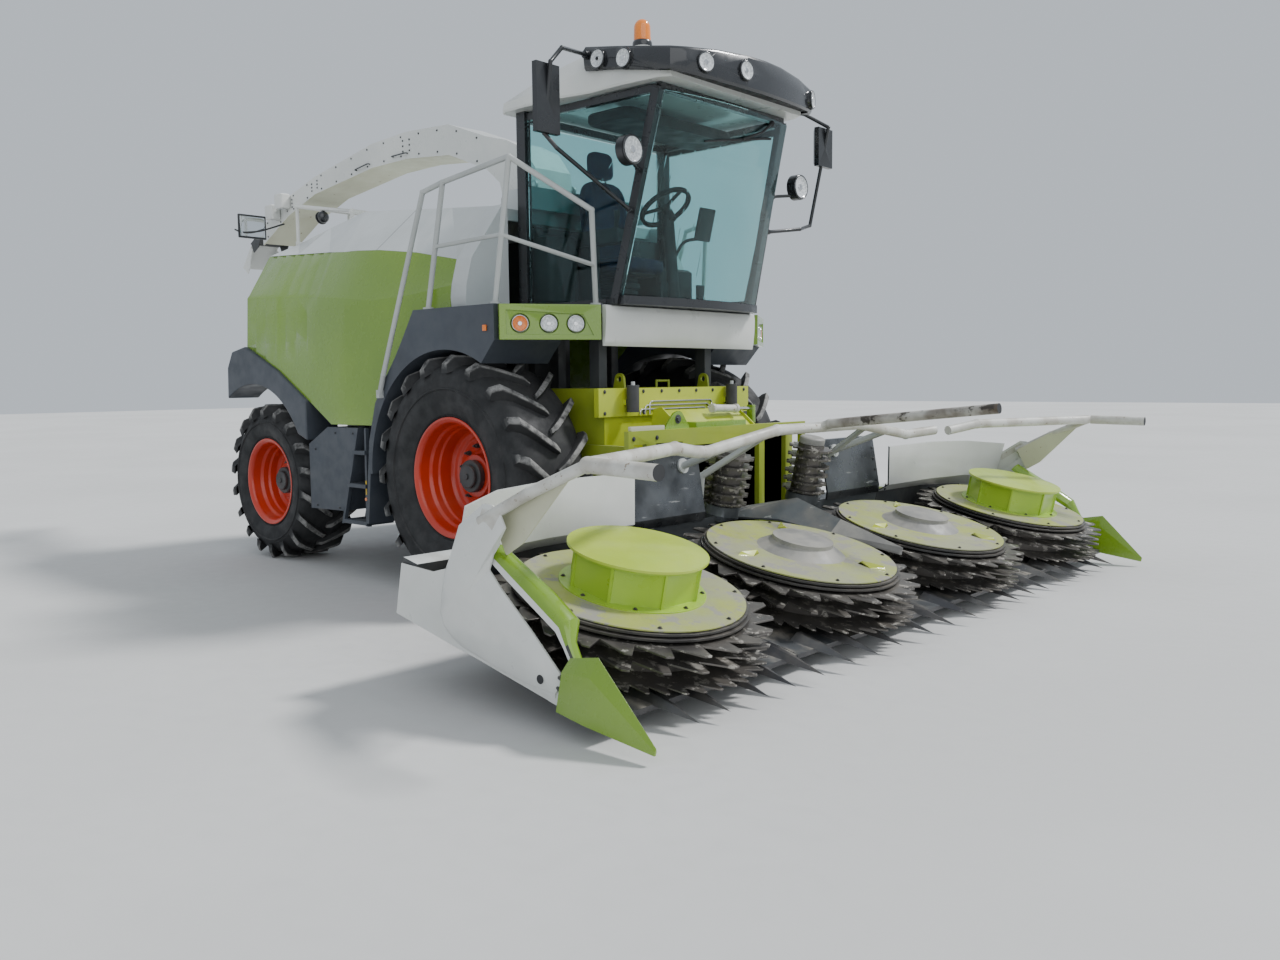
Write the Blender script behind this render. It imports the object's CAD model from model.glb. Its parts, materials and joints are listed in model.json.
import json
import math

import bmesh
import bpy
import numpy as np
from mathutils import Matrix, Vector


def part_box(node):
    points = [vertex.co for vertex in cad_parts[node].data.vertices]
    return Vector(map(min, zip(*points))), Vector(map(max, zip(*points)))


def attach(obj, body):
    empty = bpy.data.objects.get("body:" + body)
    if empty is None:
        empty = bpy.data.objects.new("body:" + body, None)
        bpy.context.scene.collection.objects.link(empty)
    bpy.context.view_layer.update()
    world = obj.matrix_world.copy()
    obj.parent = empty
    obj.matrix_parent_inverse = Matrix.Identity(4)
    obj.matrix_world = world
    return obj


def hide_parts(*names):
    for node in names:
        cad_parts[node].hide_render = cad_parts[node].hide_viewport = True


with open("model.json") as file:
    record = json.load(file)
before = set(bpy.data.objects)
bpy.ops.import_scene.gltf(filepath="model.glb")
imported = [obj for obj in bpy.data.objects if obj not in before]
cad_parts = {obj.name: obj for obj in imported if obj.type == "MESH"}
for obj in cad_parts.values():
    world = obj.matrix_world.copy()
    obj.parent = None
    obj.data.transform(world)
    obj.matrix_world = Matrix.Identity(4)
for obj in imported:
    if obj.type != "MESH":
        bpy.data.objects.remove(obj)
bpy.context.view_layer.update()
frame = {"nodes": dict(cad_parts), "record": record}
nodes = frame["nodes"]
print("frame loaded:", len(nodes), "nodes")

# where things are: stations are metres ahead of the front axle, and the header has its own tilted frame
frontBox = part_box("tyre_front_right")
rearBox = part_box("tyre_rear_right")
axleX = (frontBox[0][0] + frontBox[1][0]) / 2
rearX = (rearBox[0][0] + rearBox[1][0]) / 2
headerPlace = dict(ahead=2.49, height=0.52, tilt=math.radians(12))
rotorPitch = 1.5
headerEnd = 2.99


# small helpers on arrays of points

def station(points):
    p = np.array(points, float)
    p[..., 0] += axleX
    return p


def onHeader(points):
    # turns the header's own points nose down and carries them ahead of the front axle
    p = np.array(points, float)
    c, s = math.cos(headerPlace["tilt"]), math.sin(headerPlace["tilt"])
    x = p[..., 0] * c + p[..., 2] * s + axleX + headerPlace["ahead"]
    z = -p[..., 0] * s + p[..., 2] * c + headerPlace["height"]
    return np.stack([x, p[..., 1], z], -1)


def flipped(shell):
    # the mirror image on the other side, with its faces turned back outwards
    points, faces = shell
    out = points.copy()
    out[:, 1] *= -1
    return out, [f[::-1] for f in faces]


def stack(shells):
    # joins shells into one by shifting the face numbers of each
    points, faces, start = [], [], 0
    for p, f in shells:
        points.append(p)
        faces += [g + start for g in f]
        start += len(p)
    return np.concatenate(points), faces


def grid(points, closeU=False, closeV=False):
    # a sheet of quads over points[u, v]
    nu, nv = points.shape[:2]
    u = np.arange(nu if closeU else nu - 1)
    v = np.arange(nv if closeV else nv - 1)
    uu, vv = np.meshgrid(u, v, indexing="ij")
    u2, v2 = (uu + 1) % nu, (vv + 1) % nv
    quads = np.stack([uu * nv + vv, u2 * nv + vv, u2 * nv + v2, uu * nv + v2], -1).reshape(-1, 4)
    return points.reshape(-1, 3), list(quads)


def loft(rings):
    # closed rings carried one after another, rings[k, i], with a flat lid at each end
    rings = np.asarray(rings, float)
    points, quads = grid(rings, closeV=True)
    n = rings.shape[1]
    last = (len(rings) - 1) * n
    lids = [np.arange(n), last + np.arange(n)[::-1]]
    return points, [q[::-1] for q in quads] + lids


def circlePoints(radius, n):
    # cosine and sine of equal turns
    a = np.arange(n) / n * 2 * np.pi
    return np.stack([radius * np.cos(a), radius * np.sin(a)], -1)


def tube(path, radius, sides=16):
    # a ring square to the path at each point, turned so that it never twists
    path = np.asarray(path, float)
    radius = np.broadcast_to(np.asarray(radius, float), (len(path),))
    step = np.gradient(path, axis=0)
    step /= np.linalg.norm(step, axis=1, keepdims=True)
    side = np.cross(step[0], [0.13, 0.21, 0.97])
    rings = []
    for p, t, r in zip(path, step, radius):
        side = side - t * side.dot(t)
        side /= np.linalg.norm(side)
        up = np.cross(t, side)
        c = circlePoints(r, sides)
        rings.append(p + c[:, :1] * side + c[:, 1:] * up)
    return loft(rings[::-1])


def bend(a, b, c, radius, share, steps):
    # a quadratic bend at b, which starts and ends up to the radius away on the runs to a and c
    def onRun(other):
        run = max(np.linalg.norm(other - b), 1e-9)
        return b + (other - b) / run * min(radius, run * share)

    t = np.linspace(0, 1, steps)[:, None]
    return list((1 - t) ** 2 * onRun(a) + 2 * t * (1 - t) * b + t ** 2 * onRun(c))


def roundedPath(points, radius):
    # straight runs joined by bends
    p = np.asarray(points, float)
    out = [p[0]]
    for a, b, c in zip(p[:-2], p[1:-1], p[2:]):
        out += bend(a, b, c, radius, 0.48, 6)
    out.append(p[-1])
    return np.array(out)


def lathe(profile, segments=64, axis=1):
    # a closed profile, with rows of radius and place along the axis, carried round the axis
    profile = np.asarray(profile, float)
    a = np.arange(segments) / segments * 2 * np.pi
    r, h = profile[None, :, 0], profile[None, :, 1] + 0 * a[:, None]
    c, s = r * np.cos(a)[:, None], r * np.sin(a)[:, None]
    order = {1: (s, h, c), 2: (c, s, h)}[axis]
    return grid(np.stack(order, -1), closeU=True, closeV=True)


def roundedProfile(profile, radius, steps=3):
    # a closed outline with each corner cut to a short bend
    p = np.asarray(profile, float)
    out = []
    for a, b, c in zip(np.roll(p, 1, axis=0), p, np.roll(p, -1, axis=0)):
        out += bend(a, b, c, radius, 0.45, steps)
    return np.array(out)


def plate(outline, depth, edge=0.004, plane="xy"):
    # an outline given a thickness, its rims rounded by two narrower rings
    o = np.asarray(outline, float)
    mid = o.mean(axis=0)
    span = np.abs(o - mid).max()
    inner = mid + (o - mid) * (1 - edge / span)
    rows = ((inner, 0), (o, edge), (o, depth - edge), (inner, depth))
    rings = np.array([np.column_stack([q, np.full(len(o), z)]) for q, z in rows])
    if plane == "xz":
        rings = rings[..., [0, 2, 1]][:, ::-1]
    if plane == "yz":
        rings = rings[..., [2, 0, 1]]
    return loft(rings)


def disc(radius, depth, centre, axis, sides=24, edge=0.003):
    # a short round plug with softened rims, centred on one end of its axis
    rows = [(0.0, radius * 0.2), (0.0, radius - edge), (edge, radius),
            (depth - edge, radius), (depth, radius - edge), (depth, radius * 0.2)]
    points, faces = loft([np.column_stack([circlePoints(r, sides), np.full(sides, h)]) for h, r in rows])
    return alignZ(points, axis) + np.asarray(centre, float), faces


def alignZ(points, axis):
    # turns the Z axis onto the given direction
    z = np.asarray(axis, float) / np.linalg.norm(axis)
    x = np.cross([0.0, 1.0, 0.0] if abs(z[1]) < 0.9 else [1.0, 0.0, 0.0], z)
    x /= np.linalg.norm(x)
    y = np.cross(z, x)
    return points @ np.array([x, y, z])


def ball(radius, centre, squash=(1, 1, 1), sides=24):
    # latitude and longitude on a sphere, closed by small rings at the poles
    lat = np.linspace(-np.pi / 2 + 0.02, np.pi / 2 - 0.02, 16)
    rings = [np.column_stack([circlePoints(math.cos(t), sides), np.full(sides, math.sin(t))]) for t in lat]
    points, faces = loft(rings)
    return points * radius * np.array(squash) + np.asarray(centre, float), faces


def piece(name, shell, material, body, crease=35, tones=None):
    points, faces = shell
    mesh = bpy.data.meshes.new(name)
    mesh.from_pydata(points.tolist(), [], [list(map(int, f)) for f in faces])
    mesh.update()
    mesh.polygons.foreach_set("use_smooth", np.ones(len(mesh.polygons), bool))
    mesh.set_sharp_from_angle(angle=math.radians(crease))
    if tones is not None:
        tone = mesh.attributes.new("tone", "FLOAT", "POINT")
        tone.data.foreach_set("value", np.asarray(tones, np.float32))
    obj = bpy.data.objects.new(name, mesh)
    bpy.context.collection.objects.link(obj)
    obj.data.materials.append(material)
    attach(obj, body)
    return obj


# finishes

def addNode(tree, kind, **values):
    n = tree.nodes.new(kind)
    for k, v in values.items():
        if k.startswith("in_"):
            n.inputs[k[3:].replace("_", " ")].default_value = v
        else:
            setattr(n, k, v)
    return n


def noise(tree, coords, scale, detail=4.0, roughness=0.55, stretch=None):
    if stretch:
        m = addNode(tree, "ShaderNodeMapping")
        m.inputs["Scale"].default_value = stretch
        tree.links.new(coords, m.inputs["Vector"])
        coords = m.outputs["Vector"]
    n = addNode(tree, "ShaderNodeTexNoise", in_Scale=scale, in_Detail=detail, in_Roughness=roughness)
    tree.links.new(coords, n.inputs["Vector"])
    return n.outputs["Fac"]


def between(tree, value, low, high, outLow=0.0, outHigh=1.0):
    n = addNode(tree, "ShaderNodeMapRange", clamp=True, interpolation_type="SMOOTHSTEP")
    for i, v in zip((1, 2, 3, 4), (low, high, outLow, outHigh)):
        n.inputs[i].default_value = v
    tree.links.new(value, n.inputs[0])
    return n.outputs[0]


def maths(tree, kind, a, b):
    n = addNode(tree, "ShaderNodeMath", operation=kind)
    for i, v in enumerate((a, b)):
        if isinstance(v, (int, float)):
            n.inputs[i].default_value = v
        else:
            tree.links.new(v, n.inputs[i])
    return n.outputs[0]


def mixColour(tree, fac, a, b):
    n = addNode(tree, "ShaderNodeMix", data_type="RGBA")
    tree.links.new(fac, n.inputs["Factor"])
    for sock, v in ((n.inputs["A"], a), (n.inputs["B"], b)):
        sock = [s for s in n.inputs if s.name == sock.name and s.type == "RGBA"][0]
        if isinstance(v, tuple):
            sock.default_value = (*v, 1)
        else:
            tree.links.new(v, sock)
    return [s for s in n.outputs if s.type == "RGBA"][0]


# what every finish shares, unless its own row says otherwise
common = dict(driftScale=1.6, rough=0.4, roughScale=9.0, wearScale=14.0, wearStretch=None, wearRough=0.1,
              dustTop=2.2, dustScale=5.0, dustColour=(0.30, 0.27, 0.22), metallic=0.0, coat=0.0,
              coatRough=0.08, bumpScale=60.0, bumpDepth=0.002)


def finish(name, own):
    # a base coat with slow drift, worn patches, thin dark seams, dust on what faces up or stands low, and
    # a fine bump
    s = {**common, **own}
    m = bpy.data.materials.new(name)
    m.use_nodes = True
    tree = m.node_tree
    shader = tree.nodes["Principled BSDF"]
    place = addNode(tree, "ShaderNodeTexCoord")
    xyz = place.outputs["Object"]
    colour = mixColour(tree, between(tree, noise(tree, xyz, s["driftScale"]), 0.35, 0.65),
                       s["base"], s.get("second", tuple(c * 0.86 for c in s["base"])))
    rough = s["rough"]
    roughFac = between(tree, noise(tree, xyz, s["roughScale"], 6), 0.3, 0.7,
                       rough * 0.8, min(1, rough * 1.25))
    if s.get("wear"):
        n = noise(tree, xyz, s["wearScale"], 9, 0.7, s["wearStretch"])
        edge = 0.5 + 0.22 * (1 - s["wear"])
        worn = between(tree, n, edge, edge + 0.05)
        colour = mixColour(tree, worn, colour, s["wearColour"])
        roughFac = maths(tree, "ADD", roughFac, maths(tree, "MULTIPLY", worn, s["wearRough"]))
    for axis, where in s.get("seams", ()):
        cut = addNode(tree, "ShaderNodeSeparateXYZ")
        tree.links.new(xyz, cut.inputs[0])
        away = maths(tree, "ABSOLUTE", maths(tree, "SUBTRACT", cut.outputs[axis], where), 0.0)
        colour = mixColour(tree, between(tree, away, 0.0015, 0.005, 1.0, 0.0), colour, (0.03, 0.03, 0.03))
    if s.get("dust"):
        split = addNode(tree, "ShaderNodeSeparateXYZ")
        tree.links.new(place.outputs["Normal"], split.inputs[0])
        upward = between(tree, split.outputs[2], 0.2, 1.0, 0.15, 1.0)
        where = addNode(tree, "ShaderNodeSeparateXYZ")
        tree.links.new(xyz, where.inputs[0])
        low = between(tree, where.outputs[2], 0.2, s["dustTop"], 1.0, 0.25)
        patch = between(tree, noise(tree, xyz, s["dustScale"], 8, 0.62), 0.38, 0.72)
        dust = maths(tree, "MULTIPLY", maths(tree, "MULTIPLY", upward, low),
                     maths(tree, "MULTIPLY", patch, s["dust"]))
        colour = mixColour(tree, dust, colour, s["dustColour"])
        roughFac = maths(tree, "ADD", roughFac, maths(tree, "MULTIPLY", dust, 0.4))
    tree.links.new(colour, shader.inputs["Base Color"])
    tree.links.new(roughFac, shader.inputs["Roughness"])
    shader.inputs["Metallic"].default_value = s["metallic"]
    shader.inputs["Coat Weight"].default_value = s["coat"]
    shader.inputs["Coat Roughness"].default_value = s["coatRough"]
    if s.get("bump"):
        b = addNode(tree, "ShaderNodeBump", in_Strength=s["bump"], in_Distance=s["bumpDepth"])
        tree.links.new(noise(tree, xyz, s["bumpScale"], 5, 0.6), b.inputs["Height"])
        tree.links.new(b.outputs["Normal"], shader.inputs["Normal"])
    return m


finishes = dict(
    lime=dict(base=(0.185, 0.33, 0.010), second=(0.155, 0.285, 0.009), rough=0.26, coat=0.85, dust=0.12,
              driftScale=0.9, bump=0.02, bumpScale=3.0),
    white=dict(base=(0.71, 0.72, 0.69), second=(0.64, 0.655, 0.63), rough=0.33, coat=0.5, dust=0.5,
               wear=0.12, wearColour=(0.42, 0.41, 0.38), bump=0.02, bumpScale=4.0),
    anthracite=dict(base=(0.058, 0.068, 0.085), second=(0.047, 0.056, 0.07), rough=0.48, dust=0.55,
                    dustColour=(0.2, 0.2, 0.19), bump=0.12, bumpScale=420.0, bumpDepth=0.0004),
    rimRed=dict(base=(0.56, 0.034, 0.010), second=(0.46, 0.026, 0.008), rough=0.34, coat=0.35, dust=0.3,
                dustColour=(0.34, 0.19, 0.12), bump=0.03, bumpScale=8.0),
    darkSteel=dict(base=(0.05, 0.055, 0.06), second=(0.035, 0.038, 0.04), rough=0.5, dust=0.8, wear=0.25,
                   wearColour=(0.16, 0.15, 0.14), bump=0.15, bumpScale=90.0),
    castDark=dict(base=(0.05, 0.052, 0.055), second=(0.04, 0.04, 0.042), rough=0.6, dust=0.9,
                  bump=0.35, bumpScale=160.0, bumpDepth=0.001),
    yellowGreen=dict(base=(0.33, 0.40, 0.03), second=(0.27, 0.35, 0.03), rough=0.42, dust=0.75, wear=0.3,
                     wearColour=(0.14, 0.13, 0.1), wearScale=9.0, bump=0.08, bumpScale=40.0),
    blackFrame=dict(base=(0.014, 0.016, 0.018), second=(0.02, 0.022, 0.025), rough=0.3, coat=0.25,
                    dust=0.35, dustColour=(0.16, 0.16, 0.15), bump=0.03, bumpScale=20.0),
    trimBlack=dict(base=(0.022, 0.023, 0.025), rough=0.62, bump=0.25, bumpScale=700.0, bumpDepth=0.0004),
    greyPaint=dict(base=(0.47, 0.49, 0.48), second=(0.4, 0.42, 0.41), rough=0.4, dust=0.4, wear=0.2,
                   wearColour=(0.2, 0.19, 0.17), bump=0.04, bumpScale=30.0),
    slate=dict(base=(0.10, 0.115, 0.125), second=(0.15, 0.16, 0.165), rough=0.42, metallic=0.5, dust=0.5,
               wear=0.5, wearColour=(0.42, 0.42, 0.40), wearScale=11.0, wearStretch=(1, 0.35, 2.2),
               bump=0.1, bumpScale=50.0),
    rotorPaint=dict(base=(0.36, 0.40, 0.09), second=(0.33, 0.34, 0.20), rough=0.42, driftScale=3.0,
                    dust=0.5, wear=0.85, wearColour=(0.27, 0.27, 0.24), wearScale=5.0, bump=0.06,
                    bumpScale=40.0),
    domeGreen=dict(base=(0.36, 0.55, 0.03), second=(0.31, 0.5, 0.025), rough=0.32, coat=0.3, dust=0.25,
                   wear=0.12, wearColour=(0.5, 0.52, 0.3), bump=0.03, bumpScale=12.0),
    toothSteel=dict(base=(0.085, 0.08, 0.075), second=(0.14, 0.13, 0.12), rough=0.38, metallic=0.75,
                    wear=0.75, wearColour=(0.42, 0.40, 0.36), wearScale=14.0, dust=0.3,
                    bump=0.15, bumpScale=80.0),
    wornTube=dict(base=(0.60, 0.60, 0.56), second=(0.44, 0.42, 0.37), rough=0.45, driftScale=5.0, wear=0.5,
                  wearColour=(0.24, 0.18, 0.12), wearScale=26.0, dust=0.35, bump=0.12, bumpScale=60.0),
    seatCloth=dict(base=(0.012, 0.024, 0.07), second=(0.008, 0.016, 0.045), rough=0.85, bump=0.5,
                   bumpScale=500.0, bumpDepth=0.0008, driftScale=6.0),
    amber=dict(base=(0.95, 0.27, 0.01), second=(0.85, 0.2, 0.01), rough=0.16, coat=0.8),
    hoodWhite=dict(base=(0.56, 0.59, 0.59), second=(0.5, 0.53, 0.53), rough=0.36, coat=0.35, dust=0.4,
                   bump=0.02, bumpScale=4.0, seams=[(0, axleX - 2.36), (0, axleX - 1.05)]),
    visorBlack=dict(base=(0.012, 0.014, 0.017), second=(0.018, 0.02, 0.024), rough=0.24, coat=0.6,
                    dust=0.25, dustColour=(0.12, 0.12, 0.12), bump=0.02, bumpScale=14.0,
                    seams=[(0, axleX + 1.25)]),
    lensWhite=dict(base=(0.80, 0.83, 0.84), second=(0.5, 0.53, 0.55), rough=0.08, coat=1.0, driftScale=70.0,
                   bump=0.35, bumpScale=90.0, bumpDepth=0.002),
    lampChrome=dict(base=(0.78, 0.79, 0.80), second=(0.6, 0.61, 0.62), rough=0.13, metallic=1.0,
                    driftScale=30.0),
    mirrorGlass=dict(base=(0.72, 0.76, 0.78), second=(0.66, 0.7, 0.72), rough=0.04, metallic=1.0),
    rimBlack=dict(base=(0.022, 0.022, 0.022), second=(0.05, 0.045, 0.04), rough=0.38, wear=0.45,
                  wearColour=(0.17, 0.15, 0.13), wearScale=12.0, dust=0.35, bump=0.1, bumpScale=60.0),
    coneGrey=dict(base=(0.21, 0.205, 0.195), second=(0.30, 0.295, 0.27), rough=0.5, dust=0.5, wear=0.35,
                  wearColour=(0.40, 0.40, 0.30), wearScale=8.0, driftScale=5.0, bump=0.12, bumpScale=70.0),
    lidGreen=dict(base=(0.47, 0.60, 0.06), second=(0.42, 0.56, 0.045), rough=0.36, coat=0.25, dust=0.15,
                  wear=0.25, wearColour=(0.56, 0.60, 0.20), wearScale=10.0, bump=0.03, bumpScale=16.0),
    pointSteel=dict(base=(0.075, 0.075, 0.08), second=(0.12, 0.12, 0.12), rough=0.34, metallic=0.7,
                    wear=0.35, wearColour=(0.30, 0.29, 0.27), wearScale=16.0, dust=0.35,
                    bump=0.12, bumpScale=90.0),
    shieldSteel=dict(base=(0.16, 0.17, 0.18), second=(0.07, 0.075, 0.08), rough=0.3, metallic=0.85,
                     driftScale=2.6, wear=0.5, wearColour=(0.42, 0.42, 0.41), wearScale=7.0,
                     wearStretch=(1, 0.3, 2.4), dust=0.25, bump=0.08, bumpScale=30.0),
    brightYellow=dict(base=(0.50, 0.56, 0.03), second=(0.43, 0.52, 0.03), rough=0.36, coat=0.3, dust=0.4,
                      wear=0.15, wearColour=(0.2, 0.19, 0.12), bump=0.05, bumpScale=30.0),
    tubeRust=dict(base=(0.50, 0.49, 0.45), second=(0.10, 0.075, 0.055), rough=0.42, driftScale=3.5,
                  wear=0.8, wearColour=(0.035, 0.028, 0.022), wearScale=5.0, dust=0.25,
                  bump=0.12, bumpScale=60.0),
    cream=dict(base=(0.58, 0.59, 0.44), second=(0.5, 0.5, 0.36), rough=0.5, wear=0.4,
               wearColour=(0.22, 0.15, 0.09), wearScale=14.0, dust=0.5, bump=0.1, bumpScale=60.0),
    reflectorAmber=dict(base=(0.85, 0.22, 0.02), second=(0.75, 0.16, 0.01), rough=0.2, coat=0.7,
                        driftScale=60.0, bump=0.3, bumpScale=300.0, bumpDepth=0.001),
    plateYellow=dict(base=(0.75, 0.50, 0.02), second=(0.7, 0.46, 0.02), rough=0.4, dust=0.4),
    chromeRod=dict(base=(0.75, 0.75, 0.75), second=(0.65, 0.65, 0.65), rough=0.16, metallic=1.0),
)
made = {n: finish(n, s) for n, s in finishes.items()}


def rubber():
    # black carcass, with patches of grey dust on the lug faces, which the mesh's own tone marks
    m = finish("rubber", dict(base=(0.016, 0.017, 0.018), second=(0.024, 0.024, 0.025), rough=0.72,
                              driftScale=4.0, dust=0.35, dustColour=(0.17, 0.16, 0.15), bump=0.3,
                              bumpScale=130.0, bumpDepth=0.0012))
    tree = m.node_tree
    shader = tree.nodes["Principled BSDF"]
    before = shader.inputs["Base Color"].links[0].from_socket
    tone = addNode(tree, "ShaderNodeAttribute", attribute_name="tone")
    place = addNode(tree, "ShaderNodeTexCoord")
    patch = between(tree, noise(tree, place.outputs["Object"], 14.0, 8, 0.7), 0.3, 0.62)
    dusty = maths(tree, "MULTIPLY", tone.outputs["Fac"], patch)
    tree.links.new(mixColour(tree, dusty, before, (0.26, 0.255, 0.245)), shader.inputs["Base Color"])
    return m


def tintedGlass():
    m = bpy.data.materials.new("tintedGlass")
    m.use_nodes = True
    tree = m.node_tree
    shader = tree.nodes["Principled BSDF"]
    shader.inputs["Transmission Weight"].default_value = 1.0
    shader.inputs["IOR"].default_value = 1.3
    place = addNode(tree, "ShaderNodeTexCoord")
    drift = noise(tree, place.outputs["Object"], 1.3, 3)
    tint = mixColour(tree, drift, (0.62, 0.86, 0.86), (0.52, 0.80, 0.81))
    tree.links.new(tint, shader.inputs["Base Color"])
    film = between(tree, noise(tree, place.outputs["Object"], 7.0, 8, 0.7), 0.45, 0.75, 0.02, 0.09)
    tree.links.new(film, shader.inputs["Roughness"])
    return m


made["rubber"] = rubber()
made["glass"] = tintedGlass()
print("finishes:", len(made))


# tyres and rims

frontTyre = dict(diameter=1.75, width=0.65, seat=0.813, rimWidth=0.533, lug=0.048, lugs=19,
                 centre=(axleX, 1.17, 0.875))
rearTyre = dict(diameter=1.38, width=0.54, seat=0.711, rimWidth=0.457, lug=0.042, lugs=18,
                centre=(rearX, 1.105, 0.69))


def tyreCarcass(s):
    # half the section as radius and width, mirrored and carried round the axle
    r, w = s["diameter"] / 2, s["width"] / 2
    crown, seat = r - s["lug"], s["seat"] / 2 + 0.0005
    bulge = seat + (crown - seat) * 0.47
    t = np.linspace(0, 1, 9)
    side = [(seat + 0.045 + (bulge - seat - 0.045) * q, s["rimWidth"] / 2 + 0.008 +
             (w - 0.012 - s["rimWidth"] / 2 - 0.008) * math.sin(q * np.pi / 2)) for q in t]
    ridge = [(bulge + 0.02, w - 0.012), (bulge + 0.026, w - 0.004), (bulge + 0.034, w - 0.004),
             (bulge + 0.04, w - 0.012)]
    shoulder = [(bulge + 0.04 + (crown - 0.085 - bulge - 0.04) * q, w - 0.012 - 0.012 * q ** 2)
                for q in t[2:]]
    crownLine = [(crown - 0.06, w - 0.035), (crown - 0.03, w - 0.075), (crown - 0.012, w * 0.62),
                 (crown - 0.003, w * 0.35), (crown, 0.0)]
    bead = [(seat, s["rimWidth"] / 2 - 0.05), (seat, s["rimWidth"] / 2 - 0.001),
            (seat + 0.03, s["rimWidth"] / 2 - 0.001), (seat + 0.036, s["rimWidth"] / 2 + 0.012),
            (seat + 0.042, s["rimWidth"] / 2 + 0.004)]
    half = bead + side + ridge + shoulder + crownLine
    inside = [(crown - 0.045, 0.0), (crown - 0.06, w * 0.5), (crown - 0.1, w - 0.09),
              (bulge, w - 0.045), (seat + 0.06, s["rimWidth"] / 2 - 0.034)]
    right = [(a, -b) for a, b in half[:-1][::-1]]
    innerRight = [(a, -b) for a, b in inside[1:]][::-1]
    # up one side, over the crown, down the other side, back through the inside
    profile = half + right + innerRight + inside
    return lathe(profile, 120)


# shares of the tyre's half width, the sweep in degrees and half the lug's width
lugShape = dict(rings=9, start=-0.05, length=1.045, sweep=17.5, power=1.12, half=0.0225, widen=0.006,
                section=[(-1.55, 0.0), (-1.28, 0.35), (-1.06, 0.82), (-0.92, 0.97), (-0.6, 1.0), (0.6, 1.0),
                         (0.92, 0.97), (1.06, 0.82), (1.28, 0.35), (1.55, 0.0)])


def tyreLug(s, side, turn):
    # a rounded trapezoid that sweeps back by a power of the way out, q, and sinks into the shoulder
    shape = lugShape
    r, w = s["diameter"] / 2, s["width"] / 2
    crown = r - s["lug"]
    q = np.linspace(0, 1, shape["rings"])[:, None]
    across = (shape["start"] + shape["length"] * q) * w
    sweep = np.radians(shape["sweep"]) * q ** shape["power"] + turn
    top = r - 0.001 - 0.004 * q ** 2 - (s["lug"] + 0.012) * np.clip((q - 0.86) / 0.14, 0, 1) ** 2.2
    top = top - 0.020 * np.clip((0.06 - q) / 0.06, 0, 1)
    foot = crown - 0.014 - 0.07 * q ** 3
    half = (shape["half"] + shape["widen"] * q) * (1 - 0.25 * np.clip((0.08 - q) / 0.08, 0, 1))
    section = np.array(shape["section"])
    radius = foot + (top - foot) * section[None, :, 1]
    angle = sweep + section[None, :, 0] * half / r
    points = np.stack([radius * np.cos(angle), side * (across + 0 * radius), radius * np.sin(angle)], -1)
    tone = np.broadcast_to((section[None, :, 1] > 0.9).astype(float), radius.shape)
    ends = len(section)
    shell, faces = grid(points)
    last = (shape["rings"] - 1) * ends
    faces = faces + [np.arange(ends)[::-1], last + np.arange(ends)]
    if side > 0:
        faces = [f[::-1] for f in faces]
    return shell, faces, tone.reshape(-1)


def buildTyre(name, node, s, hand, body):
    # the carcass and two rows of lugs, set half a step apart
    shells = [tyreCarcass(s)]
    tones = [np.zeros(len(shells[0][0]))]
    for side in (-1, 1):
        for k in range(s["lugs"]):
            p, f, t = tyreLug(s, side, (k + side / 4) * 2 * math.pi / s["lugs"])
            shells.append((p, f))
            tones.append(t)
    points, faces = stack(shells)
    points = points + s["centre"] * np.array([1, hand, 1])
    obj = piece(name, (points, faces), made["rubber"], body, 40, np.concatenate(tones))
    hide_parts(node)


# rows are the radius, how tall, how far out from the wheel's disc, the sides and the softened edge
hubDiscs = [(0.118, 0.05, 0.097, 40, 0.006), (0.085, 0.03, 0.145, 32, 0.006),
            (0.022, 0.012, 0.174, 16, 0.003)]
studDiscs = [(0.019, 0.006, 0.012, 16, 0.002), (0.016, 0.026, 0.017, 6, 0.002),
             (0.009, 0.046, 0.017, 10, 0.002)]


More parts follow.
